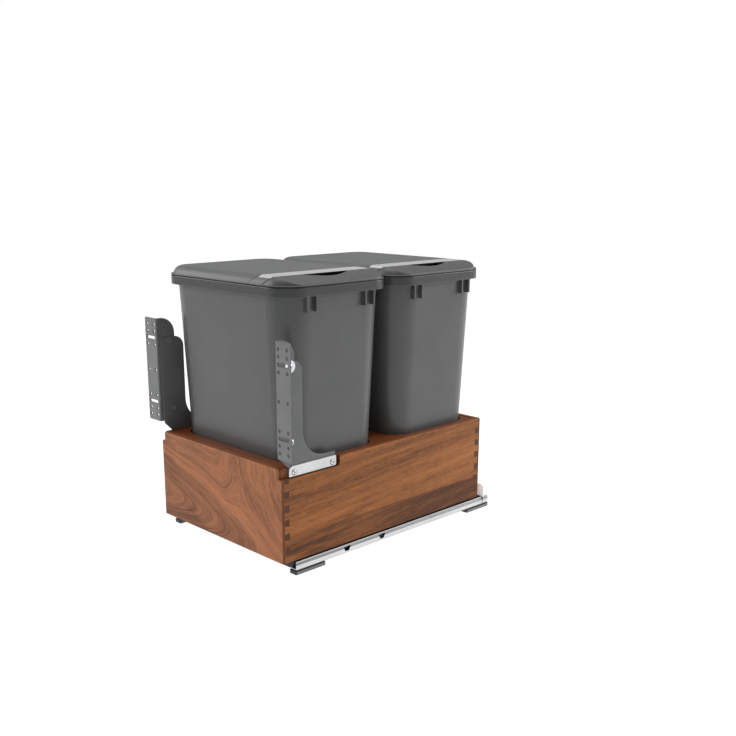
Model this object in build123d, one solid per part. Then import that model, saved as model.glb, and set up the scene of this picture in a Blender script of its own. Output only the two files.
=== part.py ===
from build123d import *
import os
from math import atan, cos, degrees, radians, sin

# Twin-bin pull-out waste cabinet insert: a dovetailed walnut drawer on telescoping undermount
# runners, two tapered bins with flip-top lids, and a pair of steel brackets for the cabinet door.
#
# Working frame, in millimetres: x = 0 on the middle plane with +x to the right, y = 0 on the
# outer face of the drawer front with +y to the back, z = 0 on the cabinet floor under the feet.
# Everything is written out about the middle of its footprint, on the floor.
# Right-hand pieces are modelled and left-hand ones are their mirror images.

# Drawer box
BOX_WIDTH = 368.0
BOX_DEPTH = 534.0
BOX_HEIGHT = 171.0
BOARD = 16.0
FLOOR_GAP = 26.0
CORNER_ROUND = 2.5
ARRIS = 1.5

# Half-blind dovetails
LAP = 5.5
PIN_PITCH = 25.6
PIN_MIDDLE = 12.4
PIN_SLOPE = 1 / 7
PIN_COUNT = 6
FRONT_FIRST_PIN = 22.5
REAR_FIRST_PIN = 18.0

# Bottom and top panels
BOTTOM_RECESS = 13.0
BOTTOM_BOARD = 9.0
GROOVE = 6.0
TOP_BOARD = 12.0
TOP_SINK = 1.0
RABBET = 5.0
HOLE_CLEARANCE = 3.0

# Notch for each door bracket, in the outer top edge of the sides
NOTCH_DEPTH = 7.5
NOTCH_HEIGHT = 19.0
NOTCH_LENGTH = 135.5
NOTCH_END_ROUND = 6.0
NOTCH_ARRIS = 4.5

# Bins
RIM_WIDTH = 364.0
RIM_DEPTH = 257.5
RIM_ROUND = 46.0
RIM_SKIRT = 16.0
RIM_OVERHANG = 7.0
RIM_WALL = 2.5
RIM_EDGE = 1.2
BIN_HEIGHT = 454.0
BIN_WALL = 2.8
BIN_DRAFT = 0.0465
BIN_ROUND = 56.0
BIN_FOOT_ROUND = 9.0
BIN_GAP = 7.0
RIM_BEYOND_BACK = 20.0
FOOT_RING = 22.0
FOOT_RECESS = 1.2
RIM_RIB = 3.5
RIM_RIB_HEIGHT = 26.0
RIM_RIB_PITCH = 20.5
RIM_RIB_MIDDLES = (-68.2, 68.2)

# Lids
LID_PLATE = 3.5
LID_EDGE = 1.0
LID_STEP_HEIGHT = 1.7
LID_STEP_DEPTH = 3.2
LID_INSET = 4.0
LID_DOME = 14.5
LID_TAPER = 24.0
LID_DOME_ROUND = 18.0
LID_WALL = 2.5
LID_LIP = 9.0
LID_LIP_CLEARANCE = 1.5
LID_MOUTH_LEDGE = 27.0
MOUTH_ROUND = 18.0
NOSE_LENGTH = 65.0
NOSE_LEDGE = 9.6
NOSE_SLANT = 1.44
NOSE_GAP = 2.4
NOSE_DROP = 1.4
NOSE_CROWN = 100.0
NOSE_CROWN_SLOPE = 5.0
BAND_WIDTH = 38.0
BAND_DROP = 1.6
BAND_GROOVE = 1.4
SCOOP_LENGTH = 114.0
SCOOP_DEPTH = 21.0
SCOOP_OVERLAP = 3.0
SCOOP_FLOOR = 1.5
FLAP_LIP = 3.0

# Flap hinge
HINGE_INSET = 6.0
KNUCKLE_RADIUS = 3.6
KNUCKLE_LIFT = 0.4
KNUCKLE_LENGTH = 22.0
KNUCKLE_COUNT = 5
KNUCKLE_GAP = 0.5
HINGE_CLEARANCE = 1.2
HINGE_PIN_RADIUS = 1.5
PIN_RUNNING = 0.06
FLAP_REAR_GAP = 1.5
FLAP_RIB_HEIGHT = 6.0
FLAP_RIB = 2.0
FLAP_RIB_MARGIN = 40.0

# Door brackets
STEEL = 2.0
BRACKET_FRONT = 4.0
BRACKET_BACK = 54.0
BRACKET_RISE = 185.0
ARM_END = 129.0
ARM_RISE = 9.0
ARM_SWEEP = 50.0
BRACKET_TOP_ROUND = 20.0
BRACKET_FRONT_ROUND = 7.0
HEEL_RISE = 16.0
CLAMP_FRONT = 19.5
CLAMP_THICKNESS = 2.5
CLAMP_HEIGHT = 18.4
CLAMP_LIFT = 2.3
CLAMP_SCREW_MARGINS = (11.5, 9.0)
CLAMP_FRONT_ROUND = 9.0
CLAMP_BACK_ROUND = 2.5
SEAT_GAP = 0.3
DOOR_FLANGE_WIDTH = 38.5
DOOR_FLANGE_HEIGHT = 202.0
DOOR_FLANGE_RISE = 20.5
DOOR_FLANGE_FRONT = -4.5
DOOR_WEB_BACK = 35.5
DOOR_WEB_ROUND = 30.0
DOOR_FOOT_ROUND = 10.0
DOOR_BEND = 3.0
DOOR_HOLE_RADIUS = 3.0
DOOR_HOLE_COLUMNS = 22.8
DOOR_HOLE_ROWS = (89.0, 76.0, 50.0)
DOOR_SLOT_ROW = 63.0
DOOR_SLOT_LENGTH = 28.0
DOOR_ADJUST = 4.0
SLOT_PLAY = 0.5
DOOR_SCREW_Y = 25.0
DOOR_SCREW_RISES = (176.0, 45.0)
DOOR_SCREW_RADIUS = 2.4
SCREW_CLEARANCE = 0.35
WASHER_RADII = (11.0, 6.0)
WASHER = 1.2
HEAD_RADIUS = 4.6
HEAD_HEIGHT = 2.6
NUT_RADIUS = 4.6
NUT_HEIGHT = 3.2

# Wood screws of the clamp plates and the latches
WOOD_SCREW_RADIUS = 1.9
WOOD_SCREW_LENGTH = 8.0
WOOD_HEAD_RADIUS = 3.9
WOOD_HEAD_HEIGHT = 1.8
PILOT_PLAY = 0.05
PILOT_DEEPER = 0.5
HEAD_BEVEL = 0.4

# Undermount runners
RAIL_FRONT = 27.0
RAIL_BEHIND_BOX = 29.0
RAIL_BESIDE_BOX = 4.0
RAIL_WIDTH = 44.0
RAIL_STEEL = 1.5
RAIL_HEIGHT = 15.0
RAIL_JOG = 1.2
RAIL_JOG_HEIGHT = 9.0
RAIL_LIP = 3.0
RAIL_RUNNING = 0.3
RAIL_WINDOW = 9.0
RAIL_WINDOW_FLARE = 5.0
RAIL_WINDOW_RISE = 3.0
RAIL_WINDOW_HEIGHT = 8.5
RAIL_WINDOW_Y = (150.0, 241.5)
MIDDLE_FRONT = 60.0
MIDDLE_SHORT = 14.0
MIDDLE_RISE = 3.7
MIDDLE_PLAY = 1.0
MIDDLE_WEB_INSET = 5.5
CAPTURE_STEEL = 1.2
CAPTURE_GAP = 0.6
CAPTURE_REACH = 2.6
DRAWER_FOOT_REACH = 4.4
LEDGE_INSET = 2.0
LEDGE_WIDTH = 32.0
HOOK_WIDTH = 12.0
HOOK_HEIGHT = 28.0
HOOK_GAP = 0.3
LOWER_ROLLER_RADIUS = 2.7
ROLLER_POCKET = 0.3
CAGE_THICKNESS = 1.6
CAGE_LENGTH = 176.0
CAGE_SIDE = 2.5
CAGE_PLAY = 0.5
CAGE_FORWARD = 65.0
CAGE_STAGGER = 4.0
ROLLER_COUNT = 5

# Floor feet
FOOT_WIDTH = 17.0
FOOT_PROUD = 1.5
FOOT_LENGTH = 70.0
FOOT_HEIGHT = 6.9
FOOT_SEAT = 1.6
FOOT_AHEAD = 2.0
FOOT_SEAT_INSET = 2.0
FLOOR_SCREW_RADIUS = 2.25
FLOOR_SCREW_SPACING = 40.0
DRIVER_HOLE_RADIUS = 5.0
FOOT_ROUND = 2.0
RIVET_END_Z = 2.0
RIVET_RADIUS = 2.5
RIVET_HEAD = 4.2
RIVET_HEAD_HEIGHT = 1.2

# Rear stop plate, damper and latch
STOP_PLATE_BEHIND = 11.0
STOP_PLATE_TOP = 50.0
STOP_PLATE_BESIDE = 1.5
STOP_PLATE_ROUND = 7.0
DAMPER_FROM_BACK = 131.0
DAMPER_LENGTH = 96.0
DAMPER_WIDTH = 15.0
DAMPER_HEIGHT = 13.0
DAMPER_WALL = 2.0
DAMPER_STANDOUT = 4.0
DAMPER_CYLINDER = 4.5
DAMPER_ROD = 1.5
DAMPER_CYLINDER_LENGTH = 62.0
LATCH_FRONT = 12.0
LATCH_REACH = 32.0
LATCH_ARM_LENGTH = 58.0
LATCH_PIVOT_IN = 23.0
LATCH_PIVOT_BACK = 34.0
LATCH_PIN_RADIUS = 2.0
LATCH_BOTTOM = 16.0
LATCH_ROUND = 3.0
LEVER_THICKNESS = 4.5
LEVER_WIDTH = 10.0
LEVER_ROOM = 10.0
THUMB_RADIUS = 7.5
THUMB_DROP = 3.0

# Derived places
HALF_BOX = BOX_WIDTH / 2
INNER_X = HALF_BOX - BOARD
BOX_TOP = FLOOR_GAP + BOX_HEIGHT
BOTTOM_UNDER = FLOOR_GAP + BOTTOM_RECESS
BOTTOM_FACE = BOTTOM_UNDER + BOTTOM_BOARD
TOP_FACE = BOX_TOP - TOP_SINK
TOP_UNDER = TOP_FACE - TOP_BOARD
NOTCH_WALL = HALF_BOX - NOTCH_DEPTH
NOTCH_FLOOR = BOX_TOP - NOTCH_HEIGHT
RIM_TOP = BOTTOM_FACE + BIN_HEIGHT
RIM_UNDER = RIM_TOP - RIM_SKIRT
REAR_BIN_Y = BOX_DEPTH - BOARD + RIM_BEYOND_BACK - RIM_DEPTH / 2
BIN_Y = (REAR_BIN_Y - BIN_GAP - RIM_DEPTH, REAR_BIN_Y)
LID_FACE = RIM_TOP + LID_PLATE
LID_TOP = LID_FACE + LID_DOME
NOSE_X = RIM_WIDTH / 2 - NOSE_LENGTH
NOSE_TIP_X = NOSE_X + NOSE_SLANT * LID_DOME
SLANT_WALL = LID_WALL * NOSE_SLANT
HINGE_X = -RIM_WIDTH / 2 + HINGE_INSET
HINGE_Z = LID_FACE + KNUCKLE_RADIUS + KNUCKLE_LIFT
BRACKET_X = NOTCH_WALL
BRACKET_TOP = BOX_TOP + BRACKET_RISE
ARM_TOP = BOX_TOP + ARM_RISE
DOOR_FLANGE_BOTTOM = BOX_TOP + DOOR_FLANGE_RISE
DOOR_SCREW_Z = tuple(BOX_TOP + rise for rise in DOOR_SCREW_RISES)
PLATE_X = BRACKET_X + STEEL
CLAMP_Z = NOTCH_FLOOR + NOTCH_HEIGHT / 2
CLAMP_SCREW_Y = (CLAMP_FRONT + CLAMP_SCREW_MARGINS[0], ARM_END - CLAMP_SCREW_MARGINS[1])
RAIL_BACK = BOX_DEPTH + RAIL_BEHIND_BOX
RAIL_OUTER = HALF_BOX + RAIL_BESIDE_BOX
RAIL_INNER = RAIL_OUTER - RAIL_WIDTH
RAIL_BOTTOM = FOOT_HEIGHT + FOOT_SEAT
RAIL_FLOOR = RAIL_BOTTOM + RAIL_STEEL
MIDDLE_BACK = BOX_DEPTH - MIDDLE_SHORT
LEDGE_OUTER = HALF_BOX - LEDGE_INSET
LEDGE_INNER = LEDGE_OUTER - LEDGE_WIDTH
LOWER_ROLLER_Z = RAIL_FLOOR + RAIL_RUNNING + LOWER_ROLLER_RADIUS
MIDDLE_UNDER = LOWER_ROLLER_Z + LOWER_ROLLER_RADIUS + RAIL_RUNNING
MIDDLE_TOP = MIDDLE_UNDER + RAIL_STEEL
LEDGE_UNDER = FLOOR_GAP - RAIL_STEEL
UPPER_ROLLER_Z = (MIDDLE_TOP + LEDGE_UNDER) / 2
UPPER_ROLLER_RADIUS = (LEDGE_UNDER - MIDDLE_TOP) / 2 - RAIL_RUNNING
LOWER_CAGE_X = (LEDGE_INNER, LEDGE_OUTER)
UPPER_CAGE_INSET = MIDDLE_WEB_INSET + RAIL_STEEL + CAGE_PLAY
UPPER_CAGE_X = (LEDGE_INNER + UPPER_CAGE_INSET, LEDGE_OUTER - UPPER_CAGE_INSET)
LOWER_CAGE_Y = BOX_DEPTH / 2 - CAGE_FORWARD
UPPER_CAGE_Y = LOWER_CAGE_Y + CAGE_STAGGER
FOOT_INNER = RAIL_OUTER - FOOT_WIDTH
FOOT_MIDDLE_X = (FOOT_INNER + RAIL_OUTER) / 2
FRONT_FOOT_Y = RAIL_FRONT - FOOT_AHEAD
REAR_FOOT_Y = RAIL_BACK - FOOT_LENGTH
STOP_PLATE_Y = BOX_DEPTH + STOP_PLATE_BEHIND
STOP_PLATE_OUTER = RAIL_OUTER + STOP_PLATE_BESIDE
DAMPER_Y = RAIL_BACK - DAMPER_FROM_BACK
LATCH_INNER = LEDGE_INNER - LATCH_REACH
LATCH_ARM_BACK = BOARD + LATCH_ARM_LENGTH
LATCH_PIVOT = (LEDGE_INNER - LATCH_PIVOT_IN, BOARD + LATCH_PIVOT_BACK)
ORIGIN_Y = (DOOR_FLANGE_FRONT + RAIL_BACK) / 2


def block(x0, x1, y0, y1, z0, z1):
    """A box between two corners."""
    size = (x1 - x0, y1 - y0, z1 - z0)
    return Pos((x0 + x1) / 2, (y0 + y1) / 2, (z0 + z1) / 2) * Box(*size)


def rod_x(radius, x0, x1, y, z):
    """A round bar along x."""
    return Pos((x0 + x1) / 2, y, z) * Rot(0, 90, 0) * Cylinder(radius, x1 - x0)


def rod_y(radius, y0, y1, x, z):
    """A round bar along y."""
    return Pos(x, (y0 + y1) / 2, z) * Rot(90, 0, 0) * Cylinder(radius, y1 - y0)


def rod_z(radius, z0, z1, x, y):
    """A round bar along z."""
    return Pos(x, y, (z0 + z1) / 2) * Cylinder(radius, z1 - z0)


def plate_yz(outline, x0, x1):
    """A plate of constant thickness along x from a closed outline in (y, z)."""
    face = make_face(Plane.YZ * outline)
    return Pos(x0, 0, 0) * extrude(face, x1 - x0, dir=(1, 0, 0))


def rounded_prism(width, depth, radius, y, z0, z1):
    """An upright prism with rounded corners, centred on x = 0."""
    return Pos(0, y, z0) * extrude(RectangleRounded(width, depth, radius), z1 - z0)


def mirrored(piece):
    """The left-hand twin of a right-hand piece."""
    return mirror(piece, about=Plane.YZ)


# ---------------------------------------------------------------- drawer box


def bottom_panel():
    """Thin board let into grooves, raised so that the runners fit below it."""
    reach = INNER_X + GROOVE
    front = BOARD - GROOVE
    return block(-reach, reach, front, BOX_DEPTH - front, BOTTOM_UNDER, BOTTOM_FACE)


def rabbet_space():
    """The room for the top panel, open upwards."""
    reach = INNER_X + RABBET
    front = BOARD - RABBET
    return block(-reach, reach, front, BOX_DEPTH - front, TOP_UNDER, BOX_TOP + 1)


def bin_outline(z, offset):
    """Rounded outline of a bin's tapered wall at height z, moved outwards by offset."""
    shrink = BIN_DRAFT * (RIM_UNDER - z) - offset
    width = RIM_WIDTH - 2 * (RIM_OVERHANG + shrink)
    depth = RIM_DEPTH - 2 * (RIM_OVERHANG + shrink)
    return RectangleRounded(width, depth, BIN_ROUND - shrink)


def top_panel():
    """Inset board with one rounded cut-out for each bin."""
    reach = INNER_X + RABBET
    front = BOARD - RABBET
    panel = block(-reach, reach, front, BOX_DEPTH - front, TOP_UNDER, TOP_FACE)
    hole = extrude(bin_outline(TOP_FACE, HOLE_CLEARANCE), TOP_BOARD + 2)
    for y in BIN_Y:
        panel -= Pos(0, y, TOP_UNDER - 1) * hole
    return panel


def dovetail_pins(first, outer, inner):
    """The pins of a front or back board, as seen from the side: narrow at the lap."""
    pins = []
    flare = PIN_SLOPE * abs(inner - outer) / 2
    tip = PIN_MIDDLE / 2 - flare
    root = PIN_MIDDLE / 2 + flare
    for i in range(PIN_COUNT):
        z = FLOOR_GAP + first + i * PIN_PITCH
        lower = [(outer, z - tip), (inner, z - root)]
        upper = [(inner, z + root), (outer, z + tip)]
        outline = Polyline(*lower, *upper, close=True)
        pins.append(plate_yz(outline, INNER_X, HALF_BOX))
    return pins


def notch():
    """Routed seat for a bracket arm and its clamp plate, open to the front and the top."""
    cut = block(NOTCH_WALL, HALF_BOX + 1, -1, NOTCH_LENGTH, NOTCH_FLOOR, BOX_TOP + 1)
    end_corner = cut.edges().filter_by(Axis.X).group_by(Axis.Y)[-1].sort_by(Axis.Z)[0]
    return fillet(end_corner, NOTCH_END_ROUND)


def clamp_screw_holes(extra):
    """Pilot or clearance holes on the two clamp screws' axes."""
    radius = WOOD_SCREW_RADIUS + extra
    inner = PLATE_X + CLAMP_THICKNESS - WOOD_SCREW_LENGTH - PILOT_DEEPER
    return [rod_x(radius, inner, HALF_BOX + 1, y, CLAMP_Z) for y in CLAMP_SCREW_Y]


def side_panel():
    """Right-hand side board with its tails, grooves, notch and pilot holes."""
    board = block(INNER_X, HALF_BOX, LAP, BOX_DEPTH - LAP, FLOOR_GAP, BOX_TOP)
    top_edge = board.edges().filter_by(Axis.Y).group_by(Axis.Z)[-1].sort_by(Axis.X)[-1]
    board = fillet(top_edge, ARRIS)
    board -= dovetail_pins(FRONT_FIRST_PIN, LAP, BOARD)
    board -= dovetail_pins(REAR_FIRST_PIN, BOX_DEPTH - LAP, BOX_DEPTH - BOARD)
    board -= [bottom_panel(), rabbet_space(), notch()]
    return board - clamp_screw_holes(PILOT_PLAY)


def end_panel(y0, y1, outer_y, sides):
    """Front or back board: a full-width board less the tails that enter it."""
    board = block(-HALF_BOX, HALF_BOX, y0, y1, FLOOR_GAP, BOX_TOP)
    corners = [e for e in board.edges().filter_by(Axis.Z) if abs(e.center().Y - outer_y) < 0.01]
    board = fillet(corners, CORNER_ROUND)
    rim = [e for e in board.edges().group_by(Axis.Z)[-1] if abs(e.center().Y - outer_y) < CORNER_ROUND]
    board = fillet(rim, ARRIS)
    board -= [bottom_panel(), rabbet_space()]
    return board - sides


def front_panel(sides):
    """Drawer front, with the two notches carried through its top corners."""
    board = end_panel(0, BOARD, 0, sides)
    cut = notch()
    board -= [cut, mirrored(cut)]
    arris = [
        e
        for e in board.edges().filter_by(Axis.Z)
        if abs(abs(e.center().X) - NOTCH_WALL) < 0.01 and abs(e.center().Y) < 0.01
    ]
    return fillet(arris, NOTCH_ARRIS)


def back_panel(sides):
    """Drawer back."""
    return end_panel(BOX_DEPTH - BOARD, BOX_DEPTH, BOX_DEPTH, sides)


# ---------------------------------------------------------------- bins and lids


def tapered_tub(y, offset, z0, z1, foot_round):
    """A solid with the bin's draft from z0 to z1, its wall moved outwards by offset."""
    draft = degrees(atan(BIN_DRAFT))
    tub = extrude(bin_outline(z0, offset), z1 - z0, taper=-draft)
    return Pos(0, y, z0) * fillet(tub.edges().group_by(Axis.Z)[0], foot_round)


def waste_bin(y):
    """Moulded bin: tapered walls, a hollow rolled rim on pairs of ribs, and a ring foot."""
    rim = rounded_prism(RIM_WIDTH, RIM_DEPTH, RIM_ROUND, y, RIM_UNDER, RIM_TOP)
    rim = fillet(rim.edges().group_by(Axis.Z)[-1], RIM_EDGE)
    width = RIM_WIDTH - 2 * RIM_WALL
    depth = RIM_DEPTH - 2 * RIM_WALL
    rim -= rounded_prism(width, depth, RIM_ROUND - RIM_WALL, y, RIM_UNDER - 1, RIM_TOP - RIM_WALL)
    tub = rim + tapered_tub(y, 0, BOTTOM_FACE, RIM_TOP, BIN_FOOT_ROUND)
    rib_under = RIM_UNDER - RIM_RIB_HEIGHT
    rib_room = rounded_prism(RIM_WIDTH, RIM_DEPTH, RIM_ROUND, y, rib_under, RIM_UNDER + RIM_WALL)
    for middle in RIM_RIB_MIDDLES:
        for side in (-1, 1):
            near = y + middle + side * RIM_RIB_PITCH / 2 - RIM_RIB / 2
            tub += rib_room & block(-RIM_WIDTH, RIM_WIDTH, near, near + RIM_RIB, rib_under, RIM_TOP)
    inner_floor = BOTTOM_FACE + FOOT_RECESS + BIN_WALL
    tub -= tapered_tub(y, -BIN_WALL, inner_floor, RIM_TOP + 1, BIN_FOOT_ROUND - BIN_WALL)
    recess = extrude(bin_outline(BOTTOM_FACE, -FOOT_RING), FOOT_RECESS)
    return tub - Pos(0, y, BOTTOM_FACE) * recess


def dome(y, inset, top):
    """The lid's crowned form: a tapered rounded prism with a soft upper edge."""
    width = RIM_WIDTH - 2 * (LID_INSET + inset)
    depth = RIM_DEPTH - 2 * (LID_INSET + inset)
    height = top - LID_FACE
    outline = RectangleRounded(width, depth, RIM_ROUND - LID_INSET - inset)
    form = Pos(0, y, LID_FACE) * extrude(outline, height, taper=LID_TAPER)
    return fillet(form.edges().group_by(Axis.Z)[-1], LID_DOME_ROUND - inset)


def slant_cut(y, shift, side):
    """All that lies left (-1) or right (+1) of the slanted joint between flap and nose."""
    low = LID_FACE - 1
    high = LID_TOP + 1
    x_low = NOSE_X + shift + NOSE_SLANT * (low - LID_FACE)
    x_high = NOSE_X + shift + NOSE_SLANT * (high - LID_FACE)
    far = side * RIM_WIDTH
    outline = Polyline((x_low, low), (x_high, high), (far, high), (far, low), close=True)
    face = make_face(Plane.XZ * outline)
    return Pos(0, y + RIM_DEPTH, 0) * extrude(face, 2 * RIM_DEPTH, dir=(0, -1, 0))


def knuckles(y, radius, parity):
    """Every second barrel of the flap hinge, with its bore for the pin."""
    barrels = []
    start = y - KNUCKLE_COUNT * KNUCKLE_LENGTH / 2
    for i in range(parity, KNUCKLE_COUNT, 2):
        y0 = start + i * KNUCKLE_LENGTH + KNUCKLE_GAP / 2
        barrels.append((y0, y0 + KNUCKLE_LENGTH - KNUCKLE_GAP, radius))
    return barrels


def lid_frame(y):
    """Lid ring that sits on the rim: mouth ledge, fixed nose with a finger scoop, hinge barrels."""
    frame = rounded_prism(RIM_WIDTH, RIM_DEPTH, RIM_ROUND, y, RIM_TOP, LID_FACE)
    frame = fillet(frame.edges().group_by(Axis.Z)[-1], LID_EDGE)
    width = RIM_WIDTH - 2 * LID_STEP_DEPTH
    depth = RIM_DEPTH - 2 * LID_STEP_DEPTH
    step_top = RIM_TOP + LID_STEP_HEIGHT
    step = rounded_prism(RIM_WIDTH, RIM_DEPTH, RIM_ROUND, y, RIM_TOP, step_top)
    frame -= step - rounded_prism(width, depth, RIM_ROUND - LID_STEP_DEPTH, y, RIM_TOP, step_top)
    play = BIN_WALL + LID_LIP_CLEARANCE
    lip_under = RIM_TOP - LID_LIP
    lip = extrude(bin_outline(lip_under, -play), LID_LIP)
    lip -= extrude(bin_outline(lip_under, -play - LID_WALL), LID_LIP)
    frame += Pos(0, y, lip_under) * lip
    mouth_left = -RIM_WIDTH / 2 + LID_MOUTH_LEDGE
    mouth_right = NOSE_X - NOSE_LEDGE
    mouth_depth = RIM_DEPTH - 2 * LID_MOUTH_LEDGE
    mouth = extrude(RectangleRounded(mouth_right - mouth_left, mouth_depth, MOUTH_ROUND), LID_PLATE + 2)
    frame -= Pos((mouth_left + mouth_right) / 2, y, RIM_TOP - 1) * mouth
    nose = dome(y, 0, LID_TOP) & slant_cut(y, NOSE_GAP / 2, 1) & nose_crown(y, NOSE_CROWN)
    hollow = dome(y, LID_WALL, LID_TOP - LID_WALL) & slant_cut(y, NOSE_GAP / 2 + SLANT_WALL, 1)
    nose -= hollow & nose_crown(y, NOSE_CROWN - LID_WALL)
    frame += nose - finger_scoop(y)
    for y0, y1, radius in knuckles(y, KNUCKLE_RADIUS, 0):
        frame += rod_y(radius, y0, y1, HINGE_X, HINGE_Z)
        frame += block(HINGE_X - radius, HINGE_X + radius, y0, y1, RIM_TOP + 1, HINGE_Z)
    frame -= rod_y(HINGE_PIN_RADIUS, y - RIM_DEPTH / 3, y + RIM_DEPTH / 3, HINGE_X, HINGE_Z)
    return frame


def nose_crown(y, radius):
    """The round bar whose upper side crowns the nose, already falling where the flap ends."""
    lean = radians(NOSE_CROWN_SLOPE)
    x = NOSE_TIP_X - NOSE_CROWN * sin(lean)
    z = LID_TOP - NOSE_DROP - NOSE_CROWN * cos(lean)
    return rod_y(radius, y - RIM_DEPTH, y + RIM_DEPTH, x, z)


def finger_scoop(y):
    """Lens-shaped pocket through the nose's slanted wall, where a finger goes under the flap."""
    edge = NOSE_TIP_X - SCOOP_OVERLAP
    inner = NOSE_X
    half = SCOOP_LENGTH / 2
    lens = ThreePointArc((edge, -half), (edge + SCOOP_DEPTH, 0), (edge, half))
    back = Polyline((edge, half), (inner, half), (inner, -half), (edge, -half))
    face = make_face([lens, back])
    return Pos(0, y, LID_FACE + SCOOP_FLOOR) * extrude(face, LID_DOME)


def flap(y):
    """Hinged part of the lid: crowned shell with a sloping band at its free edge."""
    y0 = y - RIM_DEPTH
    y1 = y + RIM_DEPTH
    shell = dome(y, 0, LID_TOP) & slant_cut(y, -NOSE_GAP / 2, -1)
    shell -= dome(y, LID_WALL, LID_TOP - LID_WALL) & slant_cut(y, -NOSE_GAP / 2 - SLANT_WALL, -1)
    shell -= band_slope(y0, y1)
    lip_under = LID_TOP - BAND_DROP - FLAP_LIP
    half = SCOOP_LENGTH / 2 - FLAP_LIP
    shell -= block(NOSE_X - 2 * FLAP_LIP, NOSE_TIP_X, y - half, y + half, LID_FACE - 1, lip_under)
    groove = slant_cut(y, -BAND_WIDTH, -1) & slant_cut(y, -BAND_WIDTH - BAND_GROOVE, 1)
    shell -= groove - dome(y, BAND_GROOVE, LID_TOP - BAND_GROOVE)
    shell -= block(-RIM_WIDTH, HINGE_X + 1, y0, y1, LID_FACE - 1, LID_FACE + FLAP_REAR_GAP)
    hinge_half = KNUCKLE_COUNT * KNUCKLE_LENGTH / 2 + 1
    clear = KNUCKLE_RADIUS + HINGE_CLEARANCE
    shell -= block(
        -RIM_WIDTH, HINGE_X + clear, y - hinge_half, y + hinge_half, LID_FACE - 1, HINGE_Z + clear
    )
    for near, far, radius in knuckles(y, KNUCKLE_RADIUS, 1):
        shell += rod_y(radius, near, far, HINGE_X, HINGE_Z)
        web = block(HINGE_X - 1, HINGE_X + clear + LID_WALL, near, far, HINGE_Z, LID_TOP)
        shell += web & dome(y, LID_WALL / 5, LID_TOP - LID_WALL / 5)
        shell -= rod_y(HINGE_PIN_RADIUS + PIN_RUNNING, near - 1, far + 1, HINGE_X, HINGE_Z)
    rib_top = LID_TOP - LID_WALL
    for rib_y in (y - RIM_DEPTH / 5, y, y + RIM_DEPTH / 5):
        shell += block(
            -RIM_WIDTH / 2 + FLAP_RIB_MARGIN, NOSE_X - FLAP_RIB_MARGIN,
            rib_y - FLAP_RIB / 2, rib_y + FLAP_RIB / 2, rib_top - FLAP_RIB_HEIGHT, rib_top,
        )
    return shell


def band_slope(y0, y1):
    """Wedge taken off the flap's top so that its band falls gently towards the nose."""
    start = NOSE_TIP_X - BAND_WIDTH
    end = NOSE_TIP_X + BAND_WIDTH
    fall = 2 * BAND_DROP
    outline = Polyline((start, LID_TOP), (end, LID_TOP - fall), (end, LID_TOP + fall), close=True)
    return Pos(0, y1, 0) * extrude(make_face(Plane.XZ * outline), y1 - y0, dir=(0, -1, 0))


def hinge_pin(y):
    """Steel rod through the flap's hinge barrels."""
    half = KNUCKLE_COUNT * KNUCKLE_LENGTH / 2
    return rod_y(HINGE_PIN_RADIUS, y - half, y + half, HINGE_X, HINGE_Z)


# ---------------------------------------------------------------- door brackets


def box_bracket():
    """Flat steel bracket: an arm in the notch that sweeps up into a tall plate."""
    bottom = NOTCH_FLOOR + SEAT_GAP
    sweep_y = BRACKET_BACK + ARM_SWEEP
    sweep_z = ARM_TOP + ARM_SWEEP
    corners = [
        (sweep_y, ARM_TOP),
        (ARM_END, ARM_TOP),
        (ARM_END, bottom),
        (CLAMP_FRONT, bottom),
        (CLAMP_FRONT, BOX_TOP),
        (BRACKET_FRONT, BOX_TOP + HEEL_RISE),
        (BRACKET_FRONT, BRACKET_TOP),
        (BRACKET_BACK, BRACKET_TOP),
        (BRACKET_BACK, sweep_z),
    ]
    sweep = RadiusArc((sweep_y, ARM_TOP), (BRACKET_BACK, sweep_z), ARM_SWEEP)
    plate = plate_yz(sweep + Polyline(*corners), BRACKET_X, PLATE_X)
    top = plate.edges().filter_by(Axis.X).group_by(Axis.Z)[-1].sort_by(Axis.Y)
    plate = fillet(top[-1], BRACKET_TOP_ROUND)
    top = plate.edges().filter_by(Axis.X).group_by(Axis.Z)[-1].sort_by(Axis.Y)
    plate = fillet(top[0], BRACKET_FRONT_ROUND)
    plate -= clamp_screw_holes(SCREW_CLEARANCE)
    for z in DOOR_SCREW_Z:
        plate -= rod_x(DOOR_SCREW_RADIUS + SCREW_CLEARANCE, BRACKET_X - 1, PLATE_X + 1, DOOR_SCREW_Y, z)
    return plate


def clamp_plate():
    """Zinc strip screwed over the bracket arm, a little above the floor of the notch."""
    z0 = NOTCH_FLOOR + CLAMP_LIFT
    strip = block(PLATE_X, PLATE_X + CLAMP_THICKNESS, CLAMP_FRONT, ARM_END, z0, z0 + CLAMP_HEIGHT)
    front = strip.edges().filter_by(Axis.X).group_by(Axis.Y)[0]
    strip = fillet(front.sort_by(Axis.Z)[-1], CLAMP_FRONT_ROUND)
    back = strip.edges().filter_by(Axis.X).group_by(Axis.Y)[-1]
    return fillet(back, CLAMP_BACK_ROUND) - clamp_screw_holes(SCREW_CLEARANCE)


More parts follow.
